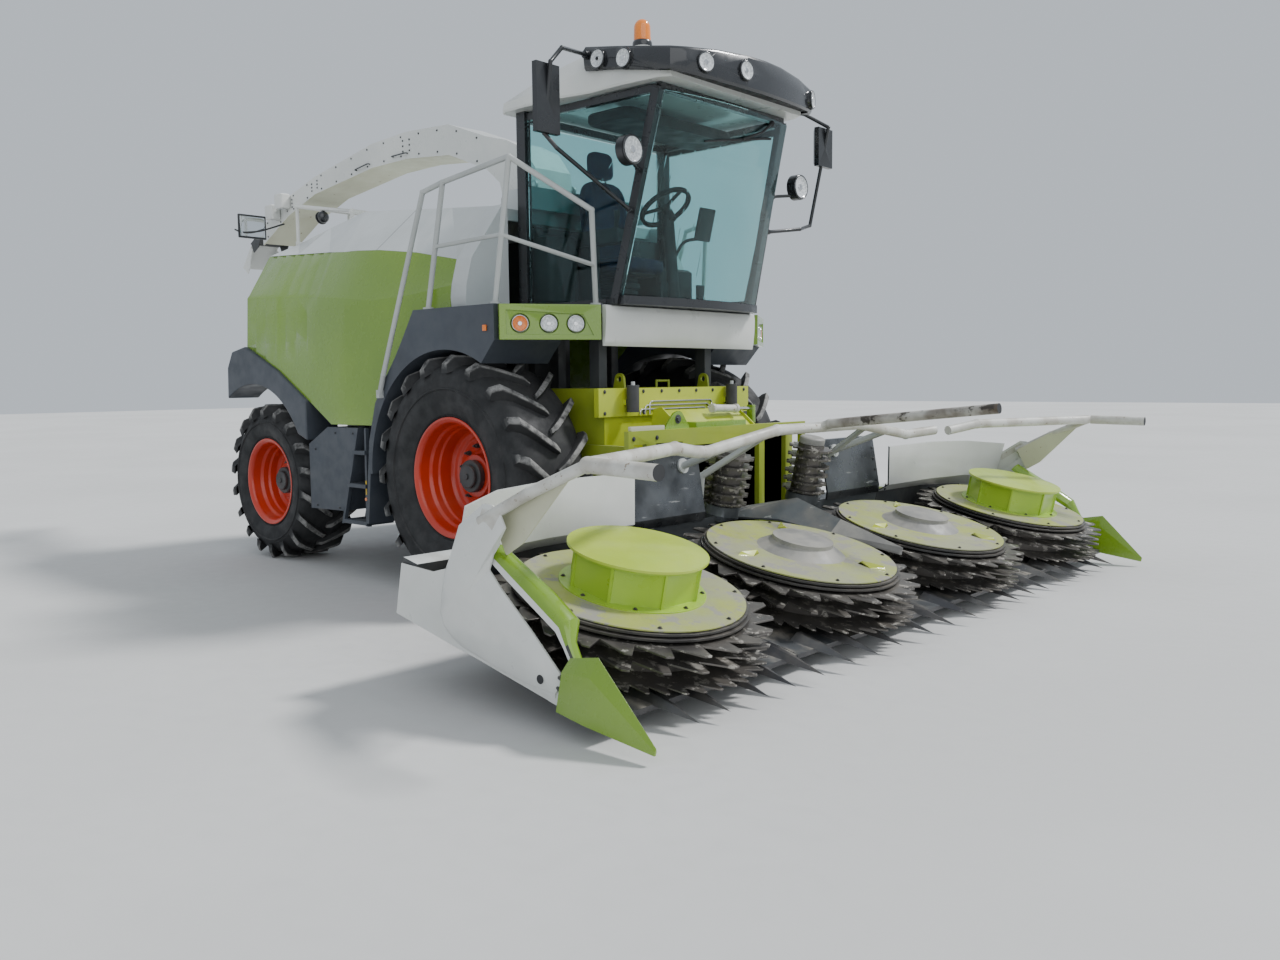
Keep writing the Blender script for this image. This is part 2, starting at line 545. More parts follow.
def buildRim(name, node, s, hand, body, depth, studs, studRing):
    # the front face is a run of steps down to the disc, and the back is the barrel
    r, w = s["seat"] / 2, s["rimWidth"] / 2
    face = [(r + 0.012, w + 0.0115), (r + 0.027, w + 0.011), (r + 0.0275, w + 0.003), (r + 0.0, w - 0.0005)]
    well = [(r - 0.0005, w - 0.08), (r - 0.03, w - 0.10), (r - 0.0355, w - 0.14), (r - 0.0355, -w + 0.06),
            (r - 0.0005, -w + 0.045), (r - 0.0005, -w + 0.001), (r + 0.0275, -w - 0.003),
            (r + 0.027, -w - 0.011), (r + 0.012, -w - 0.0115)]
    barrel = [(r - 0.012, -w - 0.004), (r - 0.014, -w + 0.04), (r - 0.05, -w + 0.055),
              (r - 0.05, depth - 0.03), (r - 0.075, depth - 0.009)]
    back = [(0.19, depth - 0.009), (0.15, depth - 0.012), (0.15, depth - 0.088), (0.0605, depth - 0.09)]
    hub = [(0.0605, depth + 0.098), (0.155, depth + 0.098), (0.158, depth + 0.026), (0.188, depth + 0.024),
           (0.192, depth + 0.010)]
    dish = [(r - 0.13, depth + 0.012), (r - 0.115, depth + 0.026), (r - 0.085, depth + 0.030),
            (r - 0.066, depth + 0.055), (r - 0.062, w - 0.165), (r - 0.048, w - 0.150),
            (r - 0.044, w - 0.105), (r - 0.026, w - 0.085), (r - 0.018, w - 0.02), (r - 0.010, w - 0.004)]
    outline = roundedProfile(face + well + barrel + back + hub + dish, 0.005, 3)
    points, faces = lathe(outline[::-1], 96)
    points = (points + s["centre"]) * np.array([1, hand, 1])
    if hand < 0:
        faces = [f[::-1] for f in faces]
    obj = piece(name, (points, faces), made["rimRed"], body, 40)
    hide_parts(node)
    centre = (s["centre"] + np.array([0, depth, 0])) * np.array([1, hand, 1])
    out = np.array([0, hand, 0])

    def discs(at, rows):
        return [disc(r, tall, at + out * away, out, sides, edge) for r, tall, away, sides, edge in rows]

    shells = discs(centre, hubDiscs)
    for k in range(studs):
        a = 2 * math.pi * (k + 0.5) / studs
        shells += discs(centre + np.array([math.cos(a) * studRing, 0, math.sin(a) * studRing]), studDiscs)
    piece(name + "_hub", stack(shells), made["darkSteel"], body, 35)


# rows are the wheel, its sizes, its side, how deep the disc stands, the studs and their circle's radius
wheelSet = [("front_left", frontTyre, 1, -0.04, 12, 0.22), ("front_right", frontTyre, -1, -0.04, 12, 0.22),
            ("rear_left", rearTyre, 1, -0.045, 10, 0.185), ("rear_right", rearTyre, -1, -0.045, 10, 0.185)]
for end, s, hand, depth, studs, circle in wheelSet:
    buildTyre("lugged_tyre_" + end, "tyre_" + end, s, hand, "wheel_" + end)
    buildRim("stepped_rim_" + end, "rim_" + end, s, hand, "wheel_" + end, depth, studs, circle)
print("wheels built")


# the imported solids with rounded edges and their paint

bodyOf = {n: b for b, names in frame["record"]["behaviour"]["bodies"].items() for n in names}


def offHeader(points):
    # the header's own coordinates of points that are given in the machine's
    c, s = math.cos(headerPlace["tilt"]), math.sin(headerPlace["tilt"])
    x = points[:, 0] - axleX - headerPlace["ahead"]
    z = points[:, 2] - headerPlace["height"]
    return np.stack([x * c - z * s, points[:, 1], x * s + z * c], -1)


def nearPath(points, path, reach):
    # true where the distance to the nearest straight run of the path is below the reach
    path = np.asarray(path, float)
    found = np.zeros(len(points), bool)
    for a, b in zip(path[:-1], path[1:]):
        t = np.clip((points - a) @ (b - a) / (b - a).dot(b - a), 0, 1)
        found |= np.linalg.norm(points - a - t[:, None] * (b - a), axis=1) < reach
    return found


def paintZones(mesh, node):
    # each face takes the last paint whose test is true at its middle
    count = len(mesh.polygons)
    middle, normal = np.empty(count * 3), np.empty(count * 3)
    mesh.polygons.foreach_get("center", middle)
    mesh.polygons.foreach_get("normal", normal)
    middle, normal = middle.reshape(-1, 3), normal.reshape(-1, 3)
    place = offHeader(middle) if node in headerZones else middle - np.array([axleX, 0, 0])
    index = np.zeros(count, np.int32)
    for coat, test in headerZones.get(node) or machineZones[node]:
        if made[coat].name not in mesh.materials:
            mesh.materials.append(made[coat])
        index[test(place, normal)] = mesh.materials.find(made[coat].name)
    mesh.polygons.foreach_set("material_index", index)


def dressed(node, material, bevel, reshape):
    # a copy of the node's own shape, with its edges rounded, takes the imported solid's place
    source = nodes[node]
    mesh = source.data.copy()
    mesh.name = "worked_" + node
    work = bmesh.new()
    work.from_mesh(mesh)
    bmesh.ops.remove_doubles(work, verts=work.verts, dist=0.00002)
    bmesh.ops.dissolve_limit(work, angle_limit=math.radians(0.6), verts=work.verts, edges=work.edges)
    if reshape:
        reshape(work)
    work.to_mesh(mesh)
    work.free()
    mesh.materials.clear()
    mesh.materials.append(material)
    if node in headerZones or node in machineZones:
        paintZones(mesh, node)
    mesh.polygons.foreach_set("use_smooth", np.ones(len(mesh.polygons), bool))
    mesh.set_sharp_from_angle(angle=math.radians(30))
    obj = bpy.data.objects.new(mesh.name, mesh)
    bpy.context.collection.objects.link(obj)
    if bevel:
        mod = obj.modifiers.new("roundedEdges", "BEVEL")
        mod.width = bevel
        mod.segments = 2
        mod.limit_method = "ANGLE"
        mod.angle_limit = math.radians(30)
        mod.use_clamp_overlap = True
        mod.harden_normals = True
        mod.miter_outer = "MITER_ARC"
    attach(obj, bodyOf[node])
    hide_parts(node)


def repaint(node, material):
    obj = nodes[node]
    if not obj.material_slots:
        obj.data.materials.append(material)
    for s in obj.material_slots:
        s.material = material


pleatSizes = dict(first=-2.86, pitch=0.165, count=7, step=0.02, depth=0.018, fadeLow=1.72, fadeMiddle=1.9,
                  fadeHigh=2.12)


def pleats(work):
    # upright folds in the rear third of the side panels: a slow ramp sinks the skin and a short step
    # brings it back, fading out towards the lower edge
    s = pleatSizes
    cuts = []
    for k in range(s["count"] + 1):
        x = axleX + s["first"] + k * s["pitch"]
        cuts += [((x, 0, 0), (1, 0, 0)), ((x + s["step"], 0, 0), (1, 0, 0))]
    cuts += [((0, 0, s[z]), (0, 0, 1)) for z in ("fadeLow", "fadeMiddle", "fadeHigh")]
    for place, square in cuts:
        bmesh.ops.bisect_plane(work, geom=work.verts[:] + work.edges[:] + work.faces[:], dist=0.0001,
                               plane_co=place, plane_no=square)
    cut = bpy.data.meshes.new("cutPanels")
    work.to_mesh(cut)
    p = np.empty(len(cut.vertices) * 3)
    cut.vertices.foreach_get("co", p)
    p = p.reshape(-1, 3)
    x, z = p[:, 0] - axleX - s["first"], p[:, 2]
    folded = (x >= 0) & (x <= s["count"] * s["pitch"]) & (z > s["fadeLow"])
    t = x % s["pitch"]
    ramp = np.where(t > s["step"] - 0.001, (t - s["step"]) / (s["pitch"] - s["step"]), 1 - t / s["step"])
    fade = np.minimum(1, (z - s["fadeLow"]) / (s["fadeHigh"] - s["fadeLow"]))
    p[:, 1] -= np.where(folded, np.copysign(s["depth"] * ramp * fade, p[:, 1]), 0)
    cut.vertices.foreach_set("co", p.ravel())
    work.clear()
    work.from_mesh(cut)
    bpy.data.meshes.remove(cut)
    bmesh.ops.triangulate(work, faces=[f for f in work.faces if len(f.verts) > 4])


far = 99.0


def above(value):
    return (value, far)


def below(value):
    return (-far, value)


def zone(coat, ahead=below(far), out=below(far), up=below(far), facing=None, least=0.9, line=None, reach=0.0,
         middle=0.0, radius=below(far)):
    # where a second paint goes: ranges ahead, out to either side and upwards, the way that the faces look,
    # how near a tube's line they are, and the distance from an upright axis that stands at y = middle
    def test(p, n):
        mirrored = p * [1, 0, 1] + np.abs(p) * [0, 1, 0]
        fromAxis = np.hypot(p[:, 0], p[:, 1] - middle)
        found = np.ones(len(p), bool)
        for values, (low, high) in zip([*mirrored.T, fromAxis], (ahead, out, up, radius)):
            found &= (values > low) & (values < high)
        if facing:
            found &= n @ facing > least
        if line:
            found &= nearPath(mirrored, line, reach)
        return found
    return coat, test


def rotorZones(middle, domed):
    # the teeth under a black rim, then a dome and its lid, or a cone inside a yellow band
    zones = [zone("toothSteel", up=below(-0.037)), zone("rimBlack", up=(-0.037, -0.001))]
    if domed:
        return zones + [zone("domeGreen", up=above(0.009), middle=middle, radius=below(0.376)),
                        zone("lidGreen", up=above(0.1985))]
    return zones + [zone("coneGrey", up=above(0.0085), middle=middle, radius=below(0.272)),
                    zone("brightYellow", up=above(0.0085), middle=middle, radius=above(0.33))]


# middle lines of the guide tubes, in the header's own metres
guideLine = [(-0.3, 1.51, 0.58), (-0.22, 1.82, 0.64), (0.23, 2.93, 0.74), (0.65, 2.96, 0.82)]
stayLine = [(-0.33, 3.0, 0.33), (-0.06, 2.97, 0.54), (0.23, 2.93, 0.74)]
longTube = [(-0.47, 0, 0.635), (-0.42, 0, 0.66), (0.7, 0, 1.015)]

wingZones = [
    zone("darkSteel", up=below(-0.045)),
    zone("white", ahead=(-0.56, 0.33), out=above(headerEnd - 0.002)),
    zone("darkSteel", ahead=below(-0.56), out=above(2.93), up=below(-0.039)),
    zone("pointSteel", ahead=above(0.42), out=below(2.7)),
    zone("lime", ahead=above(0.342), out=above(2.93), up=below(0.2)),
    zone("lime", ahead=above(-0.292), out=(2.8, headerEnd - 0.003), up=(-0.2, 0.25)),
    zone("yellowGreen", ahead=below(-0.78), out=below(1.68)),
    zone("wornTube", line=guideLine, reach=0.042),
    zone("wornTube", line=stayLine, reach=0.036),
    zone("trimBlack", line=guideLine[-2:], reach=0.034, facing=(1, 0, 0))]

# zones by node, measured in the header's own frame or from the front axle
headerZones = dict(
    header_wing_left=wingZones, header_wing_right=wingZones,
    header_centre=[zone("darkSteel", up=below(-0.2)), zone("pointSteel", ahead=above(0.42)),
                   zone("shieldSteel", ahead=below(-0.74), out=above(0.73), up=above(-0.038)),
                   zone("coneGrey", ahead=above(-0.3), out=below(0.2), up=above(-0.05)),
                   zone("yellowGreen", ahead=below(-0.88), out=above(1.36)),
                   zone("yellowGreen", ahead=below(-0.93))],
    crop_guide=[zone("tubeRust", ahead=above(-0.44), line=longTube, reach=0.04),
                zone("trimBlack", ahead=above(0.68), facing=(1, 0, 0)), zone("greyPaint", up=below(0.5))])
for k in range(4):
    headerZones[f"rotor_{k + 1}"] = rotorZones((k - 1.5) * rotorPitch, k in (0, 3))
machineZones = dict(
    chopper_housing=[zone("brightYellow", ahead=above(0.87), up=below(1.46)),
                     zone("castDark", ahead=above(0.915), up=above(1.32)),
                     zone("greyPaint", ahead=above(0.915), up=above(1.515))],
    intake_housing=[zone("brightYellow", out=below(0.45), up=above(1.15)),
                    zone("darkSteel", ahead=below(1.0), up=below(1.0))],
    mirrors=[zone("mirrorGlass", out=above(1.3), up=above(3.1), facing=(-1, 0, 0), least=0.98)],
    roof_visor=[zone("trimBlack", facing=(0, 0, -1))],
    rear_grille_door=[zone("trimBlack", out=below(0.73))],
    spout=[zone("cream", facing=(0, 0, -1), least=0.6)],
    steering_column=[zone("darkSteel", up=below(2.14))],
    spout_base=[zone("darkSteel", up=below(2.68))],
    chassis_frame=[zone("greyPaint", ahead=below(-3.3))])

# each node's main paint and the width of its rounded edges
plainDress = dict(
    chassis_frame=("darkSteel", 0.006), front_axle=("castDark", 0.008), rear_axle_beam=("castDark", 0.006),
    knuckle_left=("castDark", 0.003), knuckle_right=("castDark", 0.003), tie_rod=("darkSteel", 0.002),
    engine_block=("castDark", 0.02), chopper_housing=("yellowGreen", 0.006), side_panels=("lime", 0.006),
    upper_hood=("hoodWhite", 0.012), rear_grille_door=("blackFrame", 0.003),
    front_fenders=("anthracite", 0.012), rear_fenders=("anthracite", 0.012),
    step_boxes=("anthracite", 0.006), platform=("darkSteel", 0.004),
    front_apron=("white", 0.01), handrails=("greyPaint", 0.0), cab_frame=("blackFrame", 0.006),
    cab_roof=("white", 0.02), roof_visor=("visorBlack", 0.003), lamp_panels=("lime", 0.003),
    cab_door=("blackFrame", 0.005), steering_column=("trimBlack", 0.004), mirrors=("blackFrame", 0.006),
    spout_base=("greyPaint", 0.003), spout_turret=("greyPaint", 0.003), spout=("white", 0.004),
    flap_inner=("darkSteel", 0.002), flap_outer=("white", 0.002), spout_cradle=("white", 0.0),
    intake_housing=("yellowGreen", 0.004), header_centre=("slate", 0.002), crop_guide=("wornTube", 0.0),
    header_wing_left=("white", 0.002), header_wing_right=("white", 0.002), rotor_1=("rotorPaint", 0.0015),
    rotor_2=("rotorPaint", 0.0015), rotor_3=("rotorPaint", 0.0015), rotor_4=("rotorPaint", 0.0015),
    infeed_drum_left=("toothSteel", 0.0015), infeed_drum_right=("toothSteel", 0.0015))
for node, (coat, bevel) in plainDress.items():
    dressed(node, made[coat], bevel, pleats if node == "side_panels" else None)
for node in ("cab_glass", "door_glass"):
    repaint(node, made["glass"])
print("solids dressed:", len(plainDress))


sides = ((-1, "right"), (1, "left"))


def added(name, shells, coat, body="machine", stand=None):
    # several shells as one piece with one finish
    obj = piece(name, stack(shells), made[coat], body)
    if stand:
        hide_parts(stand)


def slab(low, high, edge=0.004, corner=None):
    # a rounded rectangle between two opposite corners, carried upwards, its rims softened
    (x0, y0, z0), (x1, y1, z1) = np.minimum(low, high), np.maximum(low, high)
    outline = roundedProfile([(x0, y0), (x1, y0), (x1, y1), (x0, y1)], corner or 2 * edge, 4)
    points, faces = plate(outline, z1 - z0, edge)
    return points + np.array([0, 0, z0]), faces


def block(low, high, edge=0.004, corner=None):
    # a slab whose corners are measured from the front axle
    return slab(station(low), station(high), edge, corner)


def bolt(centre, axis, radius=0.009, tall=0.007):
    # a washer under a six-sided head
    c, d = np.asarray(centre, float), np.asarray(axis, float)
    d = d / np.linalg.norm(d)
    washer = disc(radius * 1.6, 0.002, c, d, 12, 0.0006)
    return stack([washer, disc(radius, tall, c + d * 0.0015, d, 6, 0.001)])


# lamps

def lamp(centre, look, radius, depth=0.009):
    # a fluted bowl, a bulb cap and a bezel, all on the look direction; rows are shares of radius and depth
    d = np.asarray(look, float) / np.linalg.norm(look)
    c = np.asarray(centre, float)
    a = np.arange(48) / 48 * 2 * np.pi
    flute = 1 + 0.02 * np.sign(np.sin(a * 12))
    rows = [(0.2, 0.0, 1), (1.0, 0.0, 1), (1.0, 1.0, 1), (0.95, 1.0, 1),
            (0.88, 0.55, flute), (0.6, 0.2, flute), (0.3, 0.12, flute)]
    rings = [np.column_stack([radius * r * f * np.cos(a), radius * r * f * np.sin(a), 0 * a + depth * h])
             for r, h, f in rows]
    bowl, bowlFaces = loft(rings)
    cap = disc(radius * 0.3, depth * 0.6, c + d * depth * 0.1, d, 20, 0.002)
    lip = np.array([(0.985, 0.0), (1.17, 0.0), (1.17, 0.9), (1.05, 1.35), (0.985, 0.8)]) * (radius, depth)
    bezel, bezelFaces = lathe(roundedProfile(lip, 0.003), 40, 2)
    return (alignZ(bowl, d) + c, bowlFaces), cap, (alignZ(bezel, d) + c, bezelFaces)


# rows are metres ahead of the axle, to the left, over the roof's underside, and the turn to the left
roofLamps = dict(underside=3.5, radius=0.056, proud=0.0125,
                 rows=[(0.945, -0.856, 0.188, -90), (1.18, -0.856, 0.146, -90), (0.945, 0.856, 0.188, 90),
                       (1.18, 0.856, 0.146, 90), (1.626, -0.578, 0.086, -16), (1.686, -0.227, 0.092, -6),
                       (1.602, 0.682, 0.084, 20)],
                 mirrorLamp=(1.3315, 0.958, 3.028), mirrorRadius=0.08, mirrorDepth=0.012)


def buildRoofLamps(s):
    lamps = []
    for x, y, z, turn in s["rows"]:
        look = np.array([math.cos(math.radians(turn)), math.sin(math.radians(turn)), 0])
        at = station([x, y, s["underside"] + z]) + look * s["proud"]
        lamps.append(lamp(at, look, s["radius"]))
    x, y, z = s["mirrorLamp"]
    for side in (-1, 1):
        lamps.append(lamp(station([x, side * y, z]), (1, 0, 0), s["mirrorRadius"], s["mirrorDepth"]))
    bowls, caps, bezels = zip(*lamps)
    added("roof_lamp_bowls", bowls, "lensWhite", stand="roof_lamps")
    added("roof_lamp_caps", caps, "lampChrome")
    added("roof_lamp_rings", bezels, "visorBlack")


# three lamps in each corner panel, the outermost with an amber lens; the panel runs from outer to inner
panelLamps = dict(outer=(0.5603, 1.46), inner=(0.94, 0.85), along=(0.146, 0.341, 0.526), proud=0.0335,
                  height=1.938, radius=0.05, depth=0.01)


def buildPanelLamps(s):
    run = np.array(s["inner"]) - s["outer"]
    run = run / np.linalg.norm(run)
    outward = np.array([-run[1], run[0]])
    for side, mark in sides:
        look = np.array([outward[0], side * outward[1], 0])
        for i, along in enumerate(s["along"]):
            x, y = s["outer"] + run * along + outward * s["proud"]
            bowl, cap, bezel = lamp(station([x, side * y, s["height"]]), look, s["radius"], s["depth"])
            added(f"panel_lamp_{mark}_{i}", [bowl], "lensWhite" if i else "reflectorAmber")
            added(f"panel_lamp_ring_{mark}_{i}", [bezel, cap], "lampChrome")


# a black foot under a plain amber dome, whose crown is a quarter ellipse
beacon = dict(place=(1.06, -0.55, 3.8003), crown=(0.0565, 0.059), shoulder=0.13,
              foot=[(0.001, 0), (0.068, 0), (0.068, 0.03), (0.062, 0.045), (0.001, 0.045)],
              dome=[(0.001, 0.0455), (0.058, 0.0455), (0.0585, 0.06), (0.0565, 0.13)])


def buildBeacon(s):
    wide, tall = s["crown"]
    crown = [(wide * math.cos(t), s["shoulder"] + tall * math.sin(t)) for t in np.linspace(0.15, 1.55, 10)]
    foot, footFaces = lathe(roundedProfile(s["foot"], 0.004), 40, 2)
    dome, domeFaces = lathe(s["dome"] + crown, 48, 2)
    added("beacon_foot", [(foot + station(s["place"]), footFaces)], "visorBlack")
    added("beacon_dome", [(dome + station(s["place"]), domeFaces)], "amber")


buildRoofLamps(roofLamps)
buildPanelLamps(panelLamps)
buildBeacon(beacon)
print("lamps built")


# inside the cab: the driver's seat has rounded cushions with sewn channels

def leaned(points, angle):
    # the right-handed turn about the Y axis
    out = points.copy()
    c, s = math.cos(angle), math.sin(angle)
    out[..., 2] = points[..., 2] * c - points[..., 0] * s
    out[..., 0] = points[..., 2] * s + points[..., 0] * c
    return out


def signedPower(v, e):
    return np.sign(v) * np.abs(v) ** e


def cushion(centre, half, lean=0.0, channels=(), axis=2, deep=0.008):
    # a superellipsoid: powers of sine and cosine square its corners, the width is pulled in towards the
    # middle, and narrow channels sink the two faces that look along the axis
    lat = np.linspace(-np.pi / 2 + 0.01, np.pi / 2 - 0.01, 40)[:, None]
    lon = (np.arange(72) / 72 * 2 * np.pi)[None, :]
    x = signedPower(np.cos(lat), 0.5) * signedPower(np.cos(lon), 0.42)
    y = signedPower(np.cos(lat), 0.5) * signedPower(np.sin(lon), 0.42)
    z = signedPower(np.sin(lat), 0.5) + 0 * lon
    pull = 1 - 0.0175 * np.cos(np.pi * x)
    points = np.stack([x * half[0], y * half[1] * pull, z * half[2]], -1)
    for place in channels:
        groove = deep * np.exp(-((points[..., 1] - place) / 0.008) ** 2)
        points[..., axis] -= np.sign(points[..., axis]) * groove
    shell, faces = loft(points)
    return leaned(shell, lean) + station(centre), faces


seatPads = dict(
    seat_squab=dict(centre=(0.375, 0, 2.425), half=(0.222, 0.245, 0.063), channels=(-0.15, 0.15), axis=2),
    seat_back=dict(centre=(0.155, 0, 2.775), half=(0.052, 0.235, 0.318), lean=-0.10,
                   channels=(-0.14, 0.14), axis=0),
    seat_head=dict(centre=(0.112, 0, 3.22), half=(0.035, 0.125, 0.105), lean=-0.05, channels=(), axis=0))
for name, s in seatPads.items():
    pad = piece(name, cushion(**s), made["seatCloth"], "machine", 60)
    if name == "seat_squab":
        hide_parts("seat")

# bellows of alternating width under a pan, and the two rods of the head rest
seatFoot = dict(low=(0.17, -0.09, 2.12), high=(0.42, 0.09, 2.162), folds=5, pitch=0.046, widen=0.012,
                pan=((0.15, -0.14, 2.345), (0.56, 0.14, 2.366)), rod=((0.125, 3.06), (0.115, 3.14)),
                rodApart=0.05, rodRadius=0.007)


def buildSeatFoot(s):
    shells = []
    for k in range(s["folds"]):
        grow = s["widen"] * (k % 2) * np.array([1, 1, 0])
        lift = np.array([0, 0, k * s["pitch"]])
        shells.append(block(s["low"] - grow + lift, s["high"] + grow + lift, 0.006, 0.02))
    shells.append(block(*s["pan"], 0.004, 0.02))
    for side in (-1, 1):
        rod = station([(x, side * s["rodApart"], z) for x, z in s["rod"]])
        shells.append(tube(rod, s["rodRadius"], 10))
    added("seat_pedestal", shells, "trimBlack")


# blocks are two corners, the softened edge and the rounded upright corner
cabTrim = dict(
    console=[((0.16, -0.40, 2.55), (0.68, -0.29, 2.66), 0.012, 0.03),
             ((0.22, -0.37, 2.12), (0.40, -0.30, 2.56), 0.008, 0.02)],
    lever=[(0.6, -0.345, 2.65), (0.615, -0.345, 2.74), (0.61, -0.345, 2.79)],
    leverRadii=[0.014, 0.02, 0.024],
    lockers=[((0.07, 0.30, 2.12), (0.46, 0.72, 2.44), 0.02, 0.05),
             ((0.07, -0.72, 2.12), (0.30, -0.42, 2.62), 0.02, 0.05),
             ((0.55, -0.60, 3.36), (0.95, 0.60, 3.44), 0.02, 0.06)],
    screen=(0.036, 0.17, 0.24), screenAt=(1.0, 0.19, 2.70), screenLean=0.25,
    arm=[(0.98, 0.16, 2.6), (0.90, 0.06, 2.58), (0.84, 0.02, 2.45)],
    pedals=(-0.22, 0.2), pedalLow=(0.93, -0.04, 2.13), pedalHigh=(0.96, 0.04, 2.26))


def buildCabTrim(s):
    lever = tube(station(s["lever"]), s["leverRadii"], 16)
    added("arm_console", [block(*b) for b in s["console"]] + [lever], "trimBlack")
    added("cab_trim", [block(*b) for b in s["lockers"]], "trimBlack")
    half = np.array(s["screen"]) / 2
    screen, faces = slab(-half, half, 0.008, 0.02)
    screen = leaned(screen, s["screenLean"]) + station(s["screenAt"])
    arm = tube(roundedPath(station(s["arm"]), 0.05), 0.012, 12)
    pedals = [block(s["pedalLow"] + np.array([0, y, 0]), s["pedalHigh"] + np.array([0, y, 0]), 0.005, 0.012)
              for y in s["pedals"]]
    added("monitor_and_pedals", [(screen, faces), arm] + pedals, "trimBlack")


buildSeatFoot(seatFoot)
buildCabTrim(cabTrim)
print("cab inside built")


# flanks: the hood's end beside the cab, a lamp on the fender, a blank plate, a reflector, locker bolts

flank = dict(hoodEnd=[(-1.262, 2.075), (-1.268, 2.16), (-1.258, 2.25), (-1.205, 2.44), (-0.91, 2.845),
                      (-0.862, 2.85), (-0.862, 2.075)], hoodCorner=0.012, hoodReach=(-0.176, -0.004),
             lampLow=(0.45, 1.4905, 1.892), lampHigh=(0.49, 1.502, 1.932),
             plateLow=(-1.045, 1.4605, 0.69), plateHigh=(-1.03, 1.4635, 0.80),
             reflector=(-1.042, 1.4605, 0.655), reflectorRadius=0.014,
             bolts=[(-1.2, 1.16), (-1.45, 1.16), (-1.75, 1.02), (-1.75, 0.56), (-1.42, 0.56)],
             lockerFace=1.4605, boltRadius=0.006)


def buildFlank(s, side, mark):
    flip, out = np.array([1, side, 1]), (0, side, 0)
    outline = roundedProfile(s["hoodEnd"], s["hoodCorner"], 3)
    rings = [np.column_stack([np.full(len(outline), axleX + x), outline]) for x in s["hoodReach"]]
    shell = loft(rings[::-1])
    added("hood_end_" + mark, [shell if side < 0 else flipped(shell)], "hoodWhite")
    added("side_lamp_" + mark, [block(s["lampLow"] * flip, s["lampHigh"] * flip, 0.003)], "reflectorAmber")
    added("blank_plate_" + mark, [block(s["plateLow"] * flip, s["plateHigh"] * flip, 0.001, 0.003)],
          "plateYellow")
    reflector = disc(s["reflectorRadius"], 0.006, station(s["reflector"] * flip), out, 24, 0.002)
    added("ladder_reflector_" + mark, [reflector], "reflectorAmber")
    bolts = [bolt(station([x, side * s["lockerFace"], z]), out, s["boltRadius"]) for x, z in s["bolts"]]
    added("locker_bolts_" + mark, bolts, "darkSteel")


for side, mark in sides:
    buildFlank(flank, side, mark)


# chopper front: three rigid pipes, each a little inside the one before, and two rows of bolts

chopperTrim = dict(ahead=0.912, pipes=3, low=1.31, first=1.345, rise=0.028, right=-0.44, rightStep=0.05,
                   left=0.30, leftStep=0.04, bend=0.03, pipeRadius=0.006, flangeFace=0.905,
                   boltReach=0.8, boltCount=9, boltHeights=(1.325, 1.475), accumulator=0.6, clear=0.08)


def buildChopperTrim(s):
    pipes = []
    for k in range(s["pipes"]):
        x, z = s["ahead"], s["first"] + s["rise"] * k
        right, left = s["right"] + s["rightStep"] * k, s["left"] + s["leftStep"] * k
        route = station([(x, right, s["low"]), (x, right, z), (x, left, z), (x, left, s["low"])])
        pipes.append(tube(roundedPath(route, s["bend"]), s["pipeRadius"], 10))
    added("hydraulic_pipes", pipes, "chromeRod")
    places = [y for y in np.linspace(-s["boltReach"], s["boltReach"], s["boltCount"])
              if abs(abs(y) - s["accumulator"]) > s["clear"]]
    added("chopper_bolts", [bolt(station([s["flangeFace"], y, z]), (1, 0, 0)) for y in places
                            for z in s["boltHeights"]], "darkSteel")


# coupling: a small cylinder lying across, its brackets, a bar and the frame's bolts

coupling = dict(ahead=1.2, barrel=((0.02, 1.345), (0.3, 1.338)), rod=((0.3, 1.338), (0.5, 1.332)),
                barrelRadius=0.028, rodRadius=0.012, collars=((0.015, 1.345), (0.29, 1.338)),
                collarRadius=0.034, collarWidth=0.03, slope=(0, 1, -0.02),
                bracket=[(-0.64, 1.215), (-0.53, 1.335), (-0.46, 1.345), (-0.36, 1.215)], bracketAt=1.292,
                blocks=[((1.2, -0.32, 1.2), (1.335, 0.26, 1.258), 0.006),
                        ((1.17, 0.48, 1.22), (1.23, 0.52, 1.36), 0.005)],
                bar=((1.305, -1.0, 1.2205), (1.335, -0.66, 1.25), 0.004), frameFace=1.341,
                boltsAcross=(-0.98, -0.75, 0.75, 0.98), boltsUp=(0.45, 0.5, 1.17), pin=(1.31, -0.495, 1.285))


def buildCoupling(s):
    def across(ends):
        return station([(s["ahead"], y, z) for y, z in ends])

    collars = [disc(s["collarRadius"], s["collarWidth"], c, s["slope"], 24) for c in across(s["collars"])]
    added("coupling_cylinder", [tube(across(s["barrel"]), s["barrelRadius"], 20)] + collars,
          "wornTube", "header")
    added("coupling_rod", [tube(across(s["rod"]), s["rodRadius"], 14)], "chromeRod", "header")
    bracket, faces = plate(roundedProfile(s["bracket"], 0.03, 4), 0.018, 0.003, "yz")
    added("coupling_brackets", [(bracket + station([s["bracketAt"], 0, 0]), faces)]
          + [block(*b) for b in s["blocks"]], "lime", "header")
    added("coupling_bar", [block(*s["bar"])], "cream", "header")
    bolts = [bolt(station([s["frameFace"], y, z]), (1, 0, 0), 0.01) for y in s["boltsAcross"]
             for z in s["boltsUp"]]
    added("coupling_bolts", bolts + [bolt(station(s["pin"]), (1, 0, 0), 0.02, 0.014)], "darkSteel", "header")


buildChopperTrim(chopperTrim)
buildCoupling(coupling)
print("body details built")


# spout: rows of bolts, handles, lamp boxes, the driver's mirror and a lamp on the cradle

